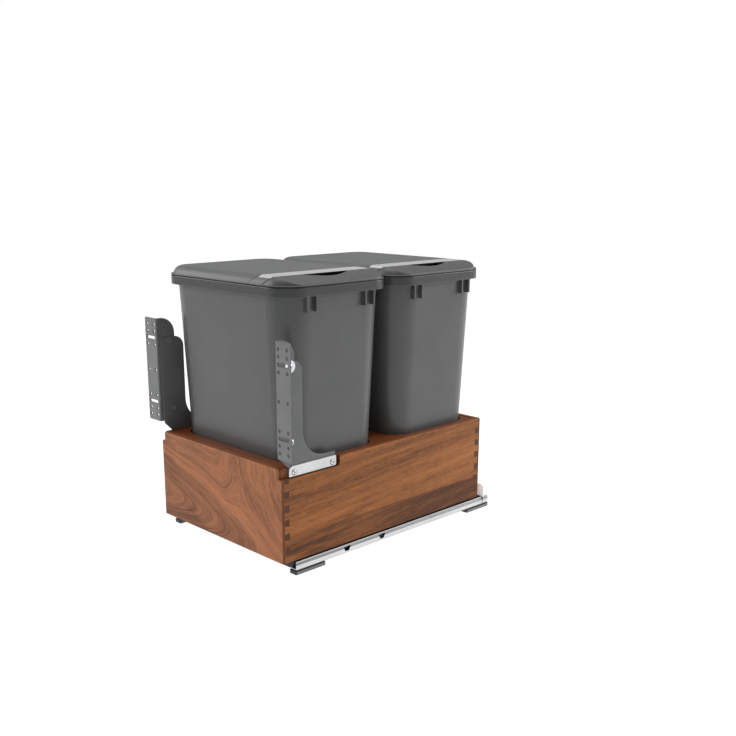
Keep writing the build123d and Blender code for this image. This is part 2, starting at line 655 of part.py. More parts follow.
def door_plate():
    """Steel angle: a web on the bracket's outer face and a drilled flange for the door."""
    z0 = DOOR_FLANGE_BOTTOM
    z1 = DOOR_FLANGE_BOTTOM + DOOR_FLANGE_HEIGHT
    front = DOOR_FLANGE_FRONT
    outer = PLATE_X + DOOR_FLANGE_WIDTH
    angle = block(PLATE_X, PLATE_X + STEEL, front, DOOR_WEB_BACK, z0, z1)
    angle += block(PLATE_X, outer, front, front + STEEL, z0, z1)
    corner = [
        e
        for e in angle.edges().filter_by(Axis.Z)
        if abs(e.center().X - PLATE_X) < 0.01 and abs(e.center().Y - front) < 0.01
    ]
    angle = fillet(corner, DOOR_BEND)
    web_top = [
        e
        for e in angle.edges().filter_by(Axis.X)
        if abs(e.center().Y - DOOR_WEB_BACK) < 0.01 and e.center().Z > z1 - 1
    ]
    angle = fillet(web_top, DOOR_WEB_ROUND)
    web_foot = [
        e
        for e in angle.edges().filter_by(Axis.X)
        if abs(e.center().Y - DOOR_WEB_BACK) < 0.01 and e.center().Z < z0 + 1
    ]
    angle = fillet(web_foot, DOOR_FOOT_ROUND)
    flange_corners = [
        e
        for e in angle.edges().filter_by(Axis.Y)
        if abs(e.center().X - outer) < 0.01 and abs(e.center().Y - front - STEEL / 2) < 0.01
    ]
    angle = fillet(flange_corners, STEEL)
    return angle - door_holes(z0, outer) - web_slots()


def door_holes(z0, outer):
    """Rows of screw holes and two cross slots in the flange."""
    middle_x = (PLATE_X + outer) / 2
    middle_z = z0 + DOOR_FLANGE_HEIGHT / 2
    y0 = DOOR_FLANGE_FRONT - 1
    y1 = DOOR_FLANGE_FRONT + STEEL + 1
    rows = [0.0]
    for row in DOOR_HOLE_ROWS:
        rows += [row, -row]
    cuts = []
    for row in rows:
        for side in (-1, 1):
            x = middle_x + side * DOOR_HOLE_COLUMNS / 2
            cuts.append(rod_y(DOOR_HOLE_RADIUS, y0, y1, x, middle_z + row))
    for row in (DOOR_SLOT_ROW, -DOOR_SLOT_ROW):
        slot = extrude(SlotOverall(DOOR_SLOT_LENGTH, 2 * DOOR_HOLE_RADIUS), y1 - y0)
        cuts.append(Pos(middle_x, y1, middle_z + row) * Rot(90, 0, 0) * slot)
    return cuts


def web_slots():
    """Slots in the web that let the plate move to and fro on its screws."""
    width = 2 * (DOOR_SCREW_RADIUS + SCREW_CLEARANCE)
    length = width + 2 * (DOOR_ADJUST + SLOT_PLAY)
    slots = []
    for z in DOOR_SCREW_Z:
        slot = extrude(SlotOverall(length, width), STEEL + 2)
        slots.append(Pos(PLATE_X - 1, DOOR_SCREW_Y, z) * Rot(0, 0, 90) * Rot(90, 0, 0) * slot)
    return slots


def door_washers():
    """Washers over the web's slots: a large one above, a small one below."""
    x0 = PLATE_X + STEEL
    washers = []
    for radius, z in zip(WASHER_RADII, DOOR_SCREW_Z):
        ring = rod_x(radius, x0, x0 + WASHER, DOOR_SCREW_Y, z)
        ring -= rod_x(DOOR_SCREW_RADIUS + SCREW_CLEARANCE, x0 - 1, x0 + WASHER + 1, DOOR_SCREW_Y, z)
        washers.append(ring)
    return washers


def door_screws():
    """Machine screws that hold the door plate on its bracket."""
    x1 = PLATE_X + STEEL + WASHER
    screws = []
    for z in DOOR_SCREW_Z:
        screw = rod_x(DOOR_SCREW_RADIUS, BRACKET_X - NUT_HEIGHT, x1, DOOR_SCREW_Y, z)
        screws.append(screw + screw_head(HEAD_RADIUS, HEAD_HEIGHT, x1, DOOR_SCREW_Y, z))
    return screws


def screw_head(radius, height, x, y, z):
    """A low head with a bevelled edge, standing out along +x."""
    head = rod_x(radius, x, x + height, y, z)
    return chamfer(head.edges().group_by(Axis.X)[-1], height * HEAD_BEVEL)


def door_nuts():
    """Hexagon nuts on the inner face of the bracket."""
    nuts = []
    for z in DOOR_SCREW_Z:
        hexagon = extrude(RegularPolygon(NUT_RADIUS, 6), NUT_HEIGHT)
        nut = Pos(BRACKET_X - NUT_HEIGHT, DOOR_SCREW_Y, z) * Rot(0, 90, 0) * hexagon
        bore = rod_x(DOOR_SCREW_RADIUS, BRACKET_X - NUT_HEIGHT - 1, BRACKET_X + 1, DOOR_SCREW_Y, z)
        nuts.append(nut - bore)
    return nuts


def clamp_screws():
    """Wood screws through the clamp plate and the arm into the side board."""
    x1 = PLATE_X + CLAMP_THICKNESS
    screws = []
    for y in CLAMP_SCREW_Y:
        shank = rod_x(WOOD_SCREW_RADIUS, x1 - WOOD_SCREW_LENGTH, x1, y, CLAMP_Z)
        screws.append(shank + screw_head(WOOD_HEAD_RADIUS, WOOD_HEAD_HEIGHT, x1, y, CLAMP_Z))
    return screws


# ---------------------------------------------------------------- runners


def rail(rectangles, y0, y1):
    """A rolled rail: the union of (x0, x1, z0, z1) strips carried along y."""
    piece = block(rectangles[0][0], rectangles[0][1], y0, y1, rectangles[0][2], rectangles[0][3])
    for x0, x1, z0, z1 in rectangles[1:]:
        piece += block(x0, x1, y0, y1, z0, z1)
    return piece


def cabinet_rail():
    """Fixed outer channel, with a stepped outer web, capture lips and a rear stop plate."""
    t = RAIL_STEEL
    z0 = RAIL_BOTTOM
    web_top = z0 + RAIL_HEIGHT
    jog_z = z0 + RAIL_JOG_HEIGHT
    lip_z = MIDDLE_TOP + RAIL_RUNNING
    outer = RAIL_OUTER
    strips = [
        (RAIL_INNER, outer, z0, z0 + t),
        (RAIL_INNER, RAIL_INNER + t, z0, lip_z + t),
        (RAIL_INNER, RAIL_INNER + t + RAIL_LIP, lip_z, lip_z + t),
        (outer - t, outer, z0, jog_z + t),
        (outer - t - RAIL_JOG, outer, jog_z, jog_z + t),
        (outer - t - RAIL_JOG, outer - RAIL_JOG, jog_z, web_top),
        (outer - t - RAIL_JOG - RAIL_LIP, outer - RAIL_JOG, lip_z, lip_z + t),
    ]
    piece = rail(strips, RAIL_FRONT, RAIL_BACK)
    low = RAIL_WINDOW / 2
    high = low + RAIL_WINDOW_FLARE
    window_z = z0 + RAIL_WINDOW_RISE
    for y in RAIL_WINDOW_Y:
        foot = [(y - low, window_z), (y + low, window_z)]
        head = [(y + high, window_z + RAIL_WINDOW_HEIGHT), (y - high, window_z + RAIL_WINDOW_HEIGHT)]
        piece -= plate_yz(Polyline(*foot, *head, close=True), outer - 2 * t - RAIL_JOG, outer + 1)
    stop = block(LEDGE_INNER, STOP_PLATE_OUTER, STOP_PLATE_Y, STOP_PLATE_Y + t, z0, STOP_PLATE_TOP)
    top_corners = [e for e in stop.edges().filter_by(Axis.Y) if e.center().Z > STOP_PLATE_TOP - 1]
    piece += fillet(top_corners, STOP_PLATE_ROUND)
    for foot_y in (FRONT_FOOT_Y, REAR_FOOT_Y):
        middle = foot_y + FOOT_LENGTH / 2
        for side in (-1, 1):
            y = middle + side * FLOOR_SCREW_SPACING / 2
            piece -= rod_z(DRIVER_HOLE_RADIUS, z0 - 1, z0 + t + 1, FOOT_MIDDLE_X, y)
        piece -= rod_z(RIVET_RADIUS, z0 - 1, z0 + t + 1, FOOT_MIDDLE_X, middle)
    return piece


def middle_rail():
    """Intermediate member: a roller plate with two upright webs."""
    t = RAIL_STEEL
    z0 = MIDDLE_UNDER
    edge = t + MIDDLE_PLAY
    inner_web = LEDGE_INNER + MIDDLE_WEB_INSET
    outer_web = LEDGE_OUTER - MIDDLE_WEB_INSET
    hook = MIDDLE_TOP + MIDDLE_RISE
    hook_top = hook + CAPTURE_STEEL
    strips = [
        (RAIL_INNER + edge, RAIL_OUTER - edge - RAIL_JOG, z0, z0 + t),
        (inner_web, inner_web + t, z0, hook_top),
        (inner_web - CAPTURE_REACH, inner_web + t, hook, hook_top),
        (outer_web - t, outer_web, z0, hook_top),
        (outer_web - t, outer_web + CAPTURE_REACH, hook, hook_top),
    ]
    return rail(strips, MIDDLE_FRONT, MIDDLE_BACK)


def drawer_rail():
    """Inner member under the drawer: ledge, capture feet and a web beside the side board."""
    t = RAIL_STEEL
    top = FLOOR_GAP
    foot_top = MIDDLE_TOP + MIDDLE_RISE - CAPTURE_GAP
    foot_bottom = foot_top - CAPTURE_STEEL
    web_x = INNER_X - SEAT_GAP
    strips = [
        (LEDGE_INNER, LEDGE_OUTER, top - t, top),
        (LEDGE_INNER, LEDGE_INNER + t, foot_bottom, top),
        (LEDGE_INNER, LEDGE_INNER + DRAWER_FOOT_REACH, foot_bottom, foot_top),
        (LEDGE_OUTER - t, LEDGE_OUTER, foot_bottom, top),
        (LEDGE_OUTER - DRAWER_FOOT_REACH, LEDGE_OUTER, foot_bottom, foot_top),
        (web_x - t, web_x, top - t, BOTTOM_UNDER),
        (LEDGE_INNER, web_x, BOTTOM_UNDER - t, BOTTOM_UNDER),
    ]
    return rail(strips, RAIL_FRONT, BOX_DEPTH - BOARD - 1)


def rear_hook():
    """Angle on the drawer rail's end that stands behind the drawer back."""
    t = RAIL_STEEL
    x1 = LEDGE_INNER + HOOK_WIDTH
    y0 = BOX_DEPTH - BOARD - 1
    y1 = BOX_DEPTH + HOOK_GAP
    piece = block(LEDGE_INNER, x1, y0, y1, FLOOR_GAP - t, FLOOR_GAP)
    return piece + block(LEDGE_INNER, x1, y1, y1 + t, FLOOR_GAP - t, FLOOR_GAP + HOOK_HEIGHT)


def roller_stations(cage_y):
    """Places of the rollers along a cage."""
    pitch = CAGE_LENGTH / ROLLER_COUNT
    return [cage_y + (i + 0.5) * pitch for i in range(ROLLER_COUNT)]


def cage(x0, x1, cage_y, z, radius):
    """Plastic strip with a pocket for each roller."""
    piece = block(x0, x1, cage_y, cage_y + CAGE_LENGTH, z - CAGE_THICKNESS / 2, z + CAGE_THICKNESS / 2)
    reach = radius + ROLLER_POCKET
    for y in roller_stations(cage_y):
        piece -= block(
            x0 + CAGE_SIDE, x1 - CAGE_SIDE, y - reach, y + reach, z - CAGE_THICKNESS, z + CAGE_THICKNESS
        )
    return piece


def rollers(x0, x1, cage_y, z, radius):
    """Steel needle rollers of one cage."""
    side = CAGE_SIDE + ROLLER_POCKET
    return [rod_x(radius, x0 + side, x1 - side, y, z) for y in roller_stations(cage_y)]


def floor_foot(y0):
    """Foot block between the cabinet floor and the fixed rail."""
    foot = block(FOOT_INNER, RAIL_OUTER + FOOT_PROUD, y0, y0 + FOOT_LENGTH, 0, FOOT_HEIGHT)
    foot = fillet(foot.edges().filter_by(Axis.Z), FOOT_ROUND)
    inset = FOOT_SEAT_INSET
    y1 = y0 + FOOT_LENGTH
    foot += block(
        FOOT_INNER + inset, RAIL_OUTER - inset, y0 + inset, y1 - inset, FOOT_HEIGHT - 1, RAIL_BOTTOM
    )
    middle = y0 + FOOT_LENGTH / 2
    for side in (-1, 1):
        y = middle + side * FLOOR_SCREW_SPACING / 2
        foot -= rod_z(FLOOR_SCREW_RADIUS, -1, RAIL_BOTTOM + 1, FOOT_MIDDLE_X, y)
    return foot - rod_z(RIVET_RADIUS, RIVET_END_Z, RAIL_BOTTOM + 1, FOOT_MIDDLE_X, middle)


def foot_rivets():
    """Rivets that join the feet to the fixed rail."""
    rivets = []
    for y0 in (FRONT_FOOT_Y, REAR_FOOT_Y):
        y = y0 + FOOT_LENGTH / 2
        rivet = rod_z(RIVET_RADIUS, RIVET_END_Z, RAIL_FLOOR, FOOT_MIDDLE_X, y)
        head_top = RAIL_FLOOR + RIVET_HEAD_HEIGHT
        rivets.append(rivet + rod_z(RIVET_HEAD, RAIL_FLOOR, head_top, FOOT_MIDDLE_X, y))
    return rivets


def damper_housing():
    """Open plastic trough clipped to the fixed rail's inner web."""
    x1 = RAIL_INNER
    x0 = x1 - DAMPER_WIDTH
    z0 = RAIL_BOTTOM
    y1 = DAMPER_Y + DAMPER_LENGTH
    wall = DAMPER_WALL
    trough = block(x0, x1, DAMPER_Y, y1, z0, z0 + DAMPER_HEIGHT)
    trough -= block(x0 + wall, x1 - wall, DAMPER_Y + wall, y1 - wall, z0 + wall, z0 + DAMPER_HEIGHT + 1)
    z = z0 + wall + DAMPER_CYLINDER
    x = x0 + DAMPER_WIDTH / 2
    return trough - rod_y(DAMPER_ROD + SEAT_GAP, DAMPER_Y - 1, DAMPER_Y + wall + 1, x, z)


def damper_cylinder():
    """Closing damper: a sealed cylinder with its rod pressed in, as it is with the drawer shut."""
    x = RAIL_INNER - DAMPER_WIDTH / 2
    z = RAIL_BOTTOM + DAMPER_WALL + DAMPER_CYLINDER
    y1 = DAMPER_Y + DAMPER_LENGTH - DAMPER_WALL
    body = rod_y(DAMPER_CYLINDER, y1 - DAMPER_CYLINDER_LENGTH, y1, x, z)
    return body + rod_y(DAMPER_ROD, DAMPER_Y - DAMPER_STANDOUT, y1 - DAMPER_CYLINDER_LENGTH, x, z)


def latch_body():
    """Plastic front coupling between the drawer box and its rail."""
    arm_outer = LEDGE_INNER - 1
    neck_inner = LATCH_PIVOT[0] + LEVER_ROOM
    back = RAIL_FRONT - CAGE_PLAY
    shroud = block(neck_inner, LEDGE_OUTER + 1, BOARD, back, LATCH_BOTTOM, FLOOR_GAP)
    shroud = fillet(shroud.edges().filter_by(Axis.Z).group_by(Axis.Y)[0], LATCH_ROUND)
    arm = block(LATCH_INNER, arm_outer, BOARD, LATCH_ARM_BACK, FLOOR_GAP + 1, BOTTOM_UNDER)
    arm = fillet(arm.edges().filter_by(Axis.Z), LATCH_ROUND)
    neck = block(neck_inner, arm_outer, BOARD, LATCH_PIVOT[1], FLOOR_GAP - LEVER_THICKNESS, FLOOR_GAP + 2)
    x, y = LATCH_PIVOT
    lever_under = FLOOR_GAP - 2 * SEAT_GAP - LEVER_THICKNESS
    pin = rod_z(LATCH_PIN_RADIUS, lever_under, FLOOR_GAP + 2, x, y)
    cap = rod_z(2 * LATCH_PIN_RADIUS, lever_under - 1, lever_under, x, y)
    return shroud + arm + neck + pin + cap


def latch_lever():
    """Release trigger that swings on the latch's pin."""
    x, y = LATCH_PIVOT
    z1 = FLOOR_GAP - SEAT_GAP
    z0 = z1 - LEVER_THICKNESS
    thumb_y = LATCH_FRONT + THUMB_RADIUS
    eye = rod_z(3 * LATCH_PIN_RADIUS, z0, z1, x, y)
    paddle = block(x - LEVER_WIDTH / 2, x + LEVER_WIDTH / 2, thumb_y, y, z0, z1)
    thumb = rod_z(THUMB_RADIUS, z0 - THUMB_DROP, z1, x, thumb_y)
    lever = eye + paddle + thumb
    return lever - rod_z(LATCH_PIN_RADIUS + PIN_RUNNING, z0 - 1, z1 + 1, x, y)


# ---------------------------------------------------------------- write the pieces


def write(node, pieces):
    """One STEP file for each node, moved to the origin under the middle of the part."""
    group = pieces if isinstance(pieces, list) else [pieces]
    solids = []
    for piece in group:
        solids += (Pos(0, -ORIGIN_Y, 0) * piece).solids()
    export_step(solids[0] if len(solids) == 1 else Compound(solids), f"parts/{node}.step")


def write_pair(node, right):
    """A right-hand piece or group and its mirror image."""
    group = right if isinstance(right, list) else [right]
    write(f"{node}_right", group)
    write(f"{node}_left", [mirrored(piece) for piece in group])


os.makedirs("parts", exist_ok=True)

side = side_panel()
sides = [side, mirrored(side)]
write_pair("side_panel", side)
write("front_panel", front_panel(sides))
write("back_panel", back_panel(sides))
write("bottom_panel", bottom_panel())
write("top_panel", top_panel())

for place, bin_y in zip(("front", "rear"), BIN_Y):
    write(f"{place}_bin", waste_bin(bin_y))
    write(f"{place}_lid_frame", lid_frame(bin_y))
    write(f"{place}_flap", flap(bin_y))
    write(f"{place}_hinge_pin", hinge_pin(bin_y))

write_pair("box_bracket", box_bracket())
write_pair("clamp_plate", clamp_plate())
write_pair("clamp_screws", clamp_screws())
write_pair("door_plate", door_plate())
write_pair("door_washers", door_washers())
write_pair("door_screws", door_screws())
write_pair("door_nuts", door_nuts())

write_pair("cabinet_rail", cabinet_rail())
write_pair("middle_rail", middle_rail())
write_pair("drawer_rail", drawer_rail())
write_pair("rear_hook", rear_hook())
write_pair("lower_cage", cage(*LOWER_CAGE_X, LOWER_CAGE_Y, LOWER_ROLLER_Z, LOWER_ROLLER_RADIUS))
write_pair("upper_cage", cage(*UPPER_CAGE_X, UPPER_CAGE_Y, UPPER_ROLLER_Z, UPPER_ROLLER_RADIUS))
write_pair("lower_rollers", rollers(*LOWER_CAGE_X, LOWER_CAGE_Y, LOWER_ROLLER_Z, LOWER_ROLLER_RADIUS))
write_pair("upper_rollers", rollers(*UPPER_CAGE_X, UPPER_CAGE_Y, UPPER_ROLLER_Z, UPPER_ROLLER_RADIUS))
write_pair("front_foot", floor_foot(FRONT_FOOT_Y))
write_pair("rear_foot", floor_foot(REAR_FOOT_Y))
write_pair("foot_rivets", foot_rivets())
write_pair("damper_housing", damper_housing())
write_pair("damper_cylinder", damper_cylinder())
write_pair("latch_body", latch_body())
write_pair("latch_lever", latch_lever())
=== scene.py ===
from math import pi, radians

import bpy
import numpy as np
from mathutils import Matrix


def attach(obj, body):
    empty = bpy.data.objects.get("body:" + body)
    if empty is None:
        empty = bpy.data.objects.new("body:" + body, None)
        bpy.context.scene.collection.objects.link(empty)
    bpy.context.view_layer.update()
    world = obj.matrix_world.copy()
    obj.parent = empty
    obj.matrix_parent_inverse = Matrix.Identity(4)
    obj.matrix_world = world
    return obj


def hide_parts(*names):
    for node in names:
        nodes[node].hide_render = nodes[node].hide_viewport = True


# A pull-out insert for a kitchen cabinet: a dovetailed walnut drawer on undermount runners that
# carries two moulded bins with flip-top lids, and a pair of steel brackets for the cabinet door.
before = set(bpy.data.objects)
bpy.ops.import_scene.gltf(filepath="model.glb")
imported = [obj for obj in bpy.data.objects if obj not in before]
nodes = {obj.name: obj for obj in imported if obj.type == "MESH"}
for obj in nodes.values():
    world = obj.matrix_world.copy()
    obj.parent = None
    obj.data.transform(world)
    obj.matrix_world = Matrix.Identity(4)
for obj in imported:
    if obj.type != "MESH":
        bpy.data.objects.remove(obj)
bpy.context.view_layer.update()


# ---------------------------------------------------------------- walnut drawer box
# Solid walnut boards, 16 mm thick, planed, sanded and lacquered to a soft satin. The sides are
# glued up from narrower boards; front and back are single wide boards, and the pins of their
# half-blind dovetails show as dark end grain in the sides.

class Signal:
    """A shader socket: arithmetic on it adds Math nodes, and node() adds one of any other type."""

    def __init__(self, tree, socket):
        self.tree = tree
        self.socket = socket

    def node(self, kind, output, settings, sockets):
        """Adds a node, makes its settings first, then fills its sockets with values or links."""
        made = self.tree.nodes.new(kind)
        for key, value in settings.items():
            if key == "stops":
                ramp = made.color_ramp.elements
                while len(ramp) < len(value):
                    ramp.new(0.5)
                for stop, (place, colour) in zip(ramp, value):
                    stop.position = place
                    stop.color = (*colour, 1.0)
            else:
                setattr(made, key, value)
        for key, value in sockets.items():
            named = [s for s in made.inputs if key in (s.identifier, s.name)]
            target = named[0] if named else made.inputs[key]
            if isinstance(value, Signal):
                self.tree.links.new(value.socket, target)
            else:
                target.default_value = value
        found = [s for s in made.outputs if output in (s.identifier, s.name)]
        return Signal(self.tree, found[0])

    def math(self, operation, *values):
        """A Math node on these numbers or signals."""
        return self.node("ShaderNodeMath", "Value", {"operation": operation}, dict(enumerate(values)))

    def __add__(self, other):
        return self.math("ADD", self, other)

    __radd__ = __add__

    def __sub__(self, other):
        return self.math("SUBTRACT", self, other)

    def __rsub__(self, other):
        return self.math("SUBTRACT", other, self)

    def __mul__(self, other):
        return self.math("MULTIPLY", self, other)

    __rmul__ = __mul__

    def __truediv__(self, other):
        return self.math("DIVIDE", self, other)

    def __pow__(self, other):
        return self.math("POWER", self, other)

    def step(self, low, high):
        """0 below low, 1 above high and a smooth ramp between; the reverse where low > high."""
        return self.node(
            "ShaderNodeMapRange", "Result", {"interpolation_type": "SMOOTHSTEP"},
            {"Value": self, "From Min": low, "From Max": high},
        )

    def axes(self):
        """The three numbers of a vector."""
        split = self.tree.nodes.new("ShaderNodeSeparateXYZ")
        self.tree.links.new(self.socket, split.inputs[0])
        return [Signal(self.tree, s) for s in split.outputs]

    def vector(self, x, y, z):
        """A vector of three numbers or signals."""
        return self.node("ShaderNodeCombineXYZ", "Vector", {}, {0: x, 1: y, 2: z})

    def noise(self, x, y, z, detail=2.0, roughness=0.5):
        """Noise between 0 and 1, on average 0.5, at a point given by three numbers or signals."""
        return self.node(
            "ShaderNodeTexNoise", "Fac", {},
            {"Vector": self.vector(x, y, z), "Scale": 1.0, "Detail": detail, "Roughness": roughness},
        )

    def mix(self, low, high):
        """The colour low where the signal is 0 and high where it is 1."""
        return self.node(
            "ShaderNodeMix", "Result_Color", {"data_type": "RGBA"},
            {"Factor_Float": self, "A_Color": colour(low), "B_Color": colour(high)},
        )


def colour(value):
    """A plain red, green, blue triple gets its fourth number."""
    return value if isinstance(value, Signal) else (*value, 1.0)


def finish(name):
    """A new material: its shader's sockets, and signals for the place and normal on the piece."""
    material = bpy.data.materials.new(name)
    material.use_nodes = True
    tree = material.node_tree
    shader = tree.nodes["Principled BSDF"]
    source = tree.nodes.new("ShaderNodeTexCoord")
    place = Signal(tree, source.outputs["Object"])
    normal = Signal(tree, source.outputs["Normal"])
    return material, shader, place, normal


def plug(shader, tree, **values):
    """Fills the shader's sockets: Base_Color stands for the socket called Base Color."""
    for key, value in values.items():
        socket = shader.inputs[key.replace("_", " ")]
        if isinstance(value, Signal):
            tree.links.new(value.socket, socket)
        else:
            socket.default_value = value


def relief(height, depth):
    """A normal bent by a height signal; depth is in metres for a height of 1."""
    return height.node(
        "ShaderNodeBump", "Normal", {}, {"Height": height, "Distance": depth, "Strength": 1.0},
    )


def coat(material, *names):
    """Puts a material on CAD nodes."""
    for name in names:
        slots = nodes[name].data.materials
        slots.clear()
        slots.append(material)


WALNUT_FRONT = ((0.112, 0.038, 0.016), (0.590, 0.224, 0.094))
WALNUT_SIDE = ((0.085, 0.026, 0.007), (0.470, 0.168, 0.046))
# The top panel's dark palette is partly painted shade and reflection of the bins around it.
WALNUT_TOP = ((0.085, 0.030, 0.013), (0.370, 0.150, 0.065))
WALNUT_END = (0.088, 0.034, 0.012)
# Colours of cut faces; the side boards' one is darkened, as painted shade in their notches.
WALNUT_CUT_AND_SHADE = {"X": (0.150, 0.040, 0.011), "Y": (0.070, 0.024, 0.011)}
# Orange painted light for faces turned up.
WALNUT_UPWARD_LIGHT = (0.165, 0.040, 0.006)
BOX_WIDTH = 0.368
BOX_HEIGHT = 0.171
BOX_BOTTOM_Z = 0.026
GLUE_LINE_Z = 0.0722
PIN_END_X = 0.1835
FRONT_LAP_Y = -0.2737
BACK_LAP_Y = 0.2492
# Fineness of each layer of the grain, across it and along it, per metre, and the layers' weight.
STREAKS = (140, 4)
FIBRES = (900, 45)
PORES = (1500, 70)
FINE_LINES = (330, 22)
GRAIN_CONTRAST = 0.60
# Place across the front board's figure, and the tone there.
FRONT_BANDS = (
    (0.00, 0.52), (0.15, 0.60), (0.22, 0.78), (0.27, 0.30), (0.31, 0.58), (0.345, 0.26), (0.39, 0.52),
    (0.43, 0.24), (0.48, 0.46), (0.52, 0.30), (0.56, 0.62), (0.60, 0.86), (0.635, 0.50), (0.67, 0.74),
    (0.71, 0.42), (0.76, 0.64), (0.82, 0.46), (0.90, 0.62), (1.00, 0.50),
)


def walnut(name, palette, ends, pattern):
    """Walnut whose broad tone and grain come from pattern(x, y, z) -> tone, across, along.

    Tone runs from 0 (dark) to 1 (light). Fibres are noise drawn out along the grain and pores are
    short dark dashes in it. Faces that cut the grain are redder, and the pins' ends nearly black.
    On the side boards the cut faces are darker still, as painted shade in their notches. Faces
    turned up get an orange tone of painted light.
    """
    material, shader, place, normal = finish(name)
    x, y, z = place.axes()
    tone, across, along = pattern(x, y, z)
    streaks = place.noise(across * STREAKS[0], along * STREAKS[1], 3.0, 3.0)
    fibre = place.noise(across * FIBRES[0], along * FIBRES[1], 7.0, 3.0, 0.6)
    pores = place.noise(across * PORES[0], along * PORES[1], 11.0, 1.0).step(0.66, 0.74)
    fine = place.noise(across * FINE_LINES[0], along * FINE_LINES[1], 5.0, 2.0, 0.6)
    shade = tone + (streaks + fine + fibre - 1.5) * GRAIN_CONTRAST - pores * 0.20
    body = shade.step(0.02, 0.98).mix(*palette)
    nx, ny, nz = normal.axes()
    facing = ny if ends == "Y" else nx
    cut = (facing * facing).step(0.45, 0.6)
    body = (cut * (0.75 + fibre * 0.25)).mix(body, WALNUT_CUT_AND_SHADE[ends])
    if ends == "X":
        pins = y.step(FRONT_LAP_Y - 0.0002, FRONT_LAP_Y) * y.step(BACK_LAP_Y + 0.0002, BACK_LAP_Y)
        pins = pins * (x * x).step(PIN_END_X ** 2 - 0.0001, PIN_END_X ** 2)
        body = (pins * (0.7 + streaks * 0.4)).mix(body, WALNUT_END)
    # Faces turned up get an orange tone of painted light.
    upward_light = nz.step(0.6, 0.8) * (0.55 + fibre * 0.5)
    body = upward_light.mix(body, WALNUT_UPWARD_LIGHT)
    plug(
        shader, place.tree, Base_Color=body, Roughness=0.46 + fibre * 0.14 - tone * 0.04,
        Normal=relief(fibre * 0.6 - pores, 0.00012), Specular_IOR_Level=0.28,
    )
    return material


def front_grain(x, y, z):
    """Plain-sawn board: nested arches near the left end, and streaks that fan out of the right foot.

    Figure is the board's place along its length, carried to the right near the foot, plus a
    hyperbola in height whose sweep fades towards the right end.
    """
    bend = x.noise(x * 9, y * 9, z * 16, 2.0) - 0.5
    t = (z - BOX_BOTTOM_Z) / BOX_HEIGHT
    s = (x + BOX_WIDTH / 2) / BOX_WIDTH - x.math("EXPONENT", t * -3.3) * 0.38 + bend * 0.10
    rise = (t - 0.30 + s * 0.25 + bend * 0.06) * 10
    sweep = (1 - s) * (1 - s.step(0.45, 0.66) * 0.8) * 0.16
    figure = s + sweep * ((rise * rise + 1) ** 0.5 - 1)
    wander = (x.noise(figure * 20, t * 5, x * 12, 3.0) - 0.5) * 0.13
    bands = x.node(
        "ShaderNodeValToRGB", "Color",
        {"stops": [(p, (v,) * 3) for p, v in FRONT_BANDS]}, {"Fac": (figure + wander + 0.3) / 1.5},
    )
    drift = x.noise(x * 8, y * 8, z * 11, 3.0) - 0.5
    # Painted shade darkens the left end and the lower right corner of the board.
    corner_shade = (s - 0.02).step(0.10, 0.0) * 0.10 + s.step(0.80, 1.0) * t.step(0.5, 0.0) * 0.16
    return bands * 0.58 + 0.24 + drift * 0.34 - corner_shade, figure * 0.30 + drift * 0.02, x - z


def side_grain(x, y, z):
    """Straight grain on boards glued edge to edge, with a curly figure in the lighter one."""
    wave = y.noise(y * 5, z * 10, x * 10, 2.0) - 0.5
    across = z - y * 0.07 + wave * 0.014
    lower = z.step(GLUE_LINE_Z + 0.0002, GLUE_LINE_Z - 0.0002)
    upper = across.step(0.125, 0.150)
    broad = y.noise(across * 42, y * 1.8, 2.0, 2.0)
    curl = (y.noise(y * 150 + z * 90, across * 60, 5.0, 2.0) - 0.5) * (1 - lower) * 0.20
    stain = y.noise(across * 20, y * 3.2, 6.0, 2.0).step(0.52, 0.72) * 0.26
    # The lower board is darker in tone, and darker still towards the back as painted shade.
    lower_board_and_shade = lower * (0.08 + y.step(-0.16, 0.08) * 0.26)
    tone = 0.62 + (broad - 0.5) * 0.85 + curl - lower_board_and_shade - upper * 0.10 - stain
    glue = z.math("ABSOLUTE", z - GLUE_LINE_Z).step(0.0005, 0.0002)
    return tone - glue * 0.2, across + lower * 0.4, y


def back_grain(x, y, z):
    """Quiet straight grain along the board."""
    across = z + (x.noise(x * 4, z * 9, 4.0) - 0.5) * 0.02
    return 0.45 + (x.noise(across * 45, x * 2, 8.0) - 0.5) * 0.7, across, x


def top_grain(x, y, z):
    """Dark straight grain along the panel's width; part of the dark is painted shade and reflection
    of the bins around it.
    """
    across = y + (x.noise(x * 4, y * 9, 4.0) - 0.5) * 0.02
    return 0.30 + (x.noise(across * 40, x * 2, 9.0) - 0.5) * 0.5, across, x


coat(walnut("walnut_front", WALNUT_FRONT, "X", front_grain), "front_panel")
coat(walnut("walnut_back", WALNUT_FRONT, "X", back_grain), "back_panel")
coat(walnut("walnut_side", WALNUT_SIDE, "Y", side_grain), "side_panel_left", "side_panel_right")
coat(walnut("walnut_top", WALNUT_TOP, "X", top_grain), "top_panel")


# ---------------------------------------------------------------- bottom board
# Pale maple-faced plywood, 9 mm thick, sanded and left matt. It is let into grooves in the four
# boards and carries the bins.

material, shader, place, normal = finish("maple_ply")
x, y, z = place.axes()
figure = place.noise(x * 60, y * 4, 1.0, 4.0)
plug(
    shader, place.tree, Base_Color=figure.step(0.3, 0.7).mix((0.50, 0.34, 0.19), (0.62, 0.45, 0.28)),
    Roughness=0.5 + figure * 0.1, Normal=relief(figure, 0.0001),
)
coat(material, "bottom_panel")


# ---------------------------------------------------------------- bins
# Injection-moulded polypropylene tubs with a rolled rim, in a dark neutral grey. The outside has
# a fine satin spark texture, and the rim is painted darker, as painted shade.

